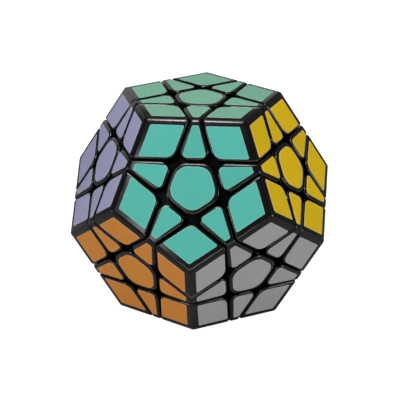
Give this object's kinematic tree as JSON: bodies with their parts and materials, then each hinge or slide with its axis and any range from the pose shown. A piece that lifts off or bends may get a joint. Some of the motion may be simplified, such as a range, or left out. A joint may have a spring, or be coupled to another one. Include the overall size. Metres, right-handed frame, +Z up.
{
  "type": "dodecahedron twisty puzzle",
  "caption": "Twisty puzzle shaped as a dodecahedron: coloured tiles in black plastic turn in layers about the face axes.",
  "frame": {"origin": "centre of the core, where the face axes meet", "axes": "+Z up through the top face, -Y toward the face with the turquoise tiles, +X to the right"},
  "size_m": [0.0782, 0.082, 0.0672],
  "materials": {
    "black_plastic": "moulded black plastic with a soft shine",
    "core_plastic": "moulded black plastic, plain",
    "zinc_steel": "zinc plated steel",
    "spring_steel": "drawn spring wire",
    "sea_green_vinyl": "die cut coloured vinyl sticker",
    "turquoise_vinyl": "die cut coloured vinyl sticker",
    "yellow_vinyl": "die cut coloured vinyl sticker",
    "red_vinyl": "die cut coloured vinyl sticker",
    "blue_vinyl": "die cut coloured vinyl sticker",
    "lavender_vinyl": "die cut coloured vinyl sticker",
    "grey_vinyl": "die cut coloured vinyl sticker",
    "pink_vinyl": "die cut coloured vinyl sticker",
    "sky_blue_vinyl": "die cut coloured vinyl sticker",
    "cream_vinyl": "die cut coloured vinyl sticker",
    "orange_vinyl": "die cut coloured vinyl sticker",
    "white_vinyl": "die cut coloured vinyl sticker"
  },
  "bodies": {
    "core_and_fixed_pieces": {"blue_stickers_on_fixed_pieces": "blue_vinyl", "core": "core_plastic", "fixed_centre_bodies": "black_plastic", "fixed_centre_caps": "black_plastic", "fixed_corner_bases": "black_plastic", "fixed_corner_caps": "black_plastic", "fixed_edge_bases": "black_plastic", "fixed_edge_caps": "black_plastic", "lavender_stickers_on_fixed_pieces": "lavender_vinyl", "orange_stickers_on_fixed_pieces": "orange_vinyl", "pink_stickers_on_fixed_pieces": "pink_vinyl", "red_stickers_on_fixed_pieces": "red_vinyl", "screw_washers": "zinc_steel", "sky_blue_stickers_on_fixed_pieces": "sky_blue_vinyl", "tension_screws": "zinc_steel", "tension_springs": "spring_steel", "turquoise_stickers_on_fixed_pieces": "turquoise_vinyl", "white_stickers_on_fixed_pieces": "white_vinyl", "yellow_stickers_on_fixed_pieces": "yellow_vinyl"},
    "top_layer": {"blue_stickers_on_top_layer": "blue_vinyl", "lavender_stickers_on_top_layer": "lavender_vinyl", "red_stickers_on_top_layer": "red_vinyl", "sea_green_stickers_on_top_layer": "sea_green_vinyl", "top_corner_bases": "black_plastic", "top_corner_caps": "black_plastic", "top_edge_bases": "black_plastic", "top_edge_caps": "black_plastic", "turquoise_stickers_on_top_layer": "turquoise_vinyl", "yellow_stickers_on_top_layer": "yellow_vinyl"},
    "top_centre": {"top_centre_bodies": "black_plastic"},
    "top_centre_cap": {"sea_green_stickers_on_centre_cap": "sea_green_vinyl", "top_centre_caps": "black_plastic"},
    "lower_right_layer": {"grey_stickers_on_lower_right_layer": "grey_vinyl", "lower_right_corner_bases": "black_plastic", "lower_right_corner_caps": "black_plastic", "lower_right_edge_bases": "black_plastic", "lower_right_edge_caps": "black_plastic", "orange_stickers_on_lower_right_layer": "orange_vinyl", "pink_stickers_on_lower_right_layer": "pink_vinyl", "turquoise_stickers_on_lower_right_layer": "turquoise_vinyl", "white_stickers_on_lower_right_layer": "white_vinyl", "yellow_stickers_on_lower_right_layer": "yellow_vinyl"},
    "lower_right_centre": {"lower_right_centre_bodies": "black_plastic"},
    "lower_right_centre_cap": {"grey_stickers_on_centre_cap": "grey_vinyl", "lower_right_centre_caps": "black_plastic"},
    "lower_back_left_layer": {"blue_stickers_on_lower_back_left_layer": "blue_vinyl", "cream_stickers_on_lower_back_left_layer": "cream_vinyl", "lavender_stickers_on_lower_back_left_layer": "lavender_vinyl", "lower_back_left_corner_bases": "black_plastic", "lower_back_left_corner_caps": "black_plastic", "lower_back_left_edge_bases": "black_plastic", "lower_back_left_edge_caps": "black_plastic", "orange_stickers_on_lower_back_left_layer": "orange_vinyl", "sky_blue_stickers_on_lower_back_left_layer": "sky_blue_vinyl", "white_stickers_on_lower_back_left_layer": "white_vinyl"},
    "lower_back_left_centre": {"lower_back_left_centre_bodies": "black_plastic"},
    "lower_back_left_centre_cap": {"cream_stickers_on_centre_cap": "cream_vinyl", "lower_back_left_centre_caps": "black_plastic"}
  },
  "joints": [
    {"name": "top_layer_turn", "type": "hinge", "parent": "core_and_fixed_pieces", "child": "top_layer", "pos_m": [0, 0, 0], "axis": [0, 0, 1], "continuous": true},
    {"name": "top_centre_float", "type": "slide", "parent": "top_layer", "child": "top_centre", "axis": [0, 0, 1], "range_m": [0, 0.0006], "deforming": ["tension_springs"]},
    {"name": "top_cap_lift", "type": "slide", "parent": "top_centre", "child": "top_centre_cap", "axis": [0, 0, 1], "range_m": [0, 0.015]},
    {"name": "lower_right_layer_turn", "type": "hinge", "parent": "core_and_fixed_pieces", "child": "lower_right_layer", "pos_m": [0, 0, 0], "axis": [0.5257, -0.7236, -0.4472], "continuous": true},
    {"name": "lower_right_centre_float", "type": "slide", "parent": "lower_right_layer", "child": "lower_right_centre", "axis": [0.5257, -0.7236, -0.4472], "range_m": [0, 0.0006], "deforming": ["tension_springs"]},
    {"name": "lower_right_cap_lift", "type": "slide", "parent": "lower_right_centre", "child": "lower_right_centre_cap", "axis": [0.5257, -0.7236, -0.4472], "range_m": [0, 0.015]},
    {"name": "lower_back_left_layer_turn", "type": "hinge", "parent": "core_and_fixed_pieces", "child": "lower_back_left_layer", "pos_m": [0, 0, 0], "axis": [-0.8507, 0.2764, -0.4472], "continuous": true},
    {"name": "lower_back_left_centre_float", "type": "slide", "parent": "lower_back_left_layer", "child": "lower_back_left_centre", "axis": [-0.8507, 0.2764, -0.4472], "range_m": [0, 0.0006], "deforming": ["tension_springs"]},
    {"name": "lower_back_left_cap_lift", "type": "slide", "parent": "lower_back_left_centre", "child": "lower_back_left_centre_cap", "axis": [-0.8507, 0.2764, -0.4472], "range_m": [0, 0.015]}
  ]
}
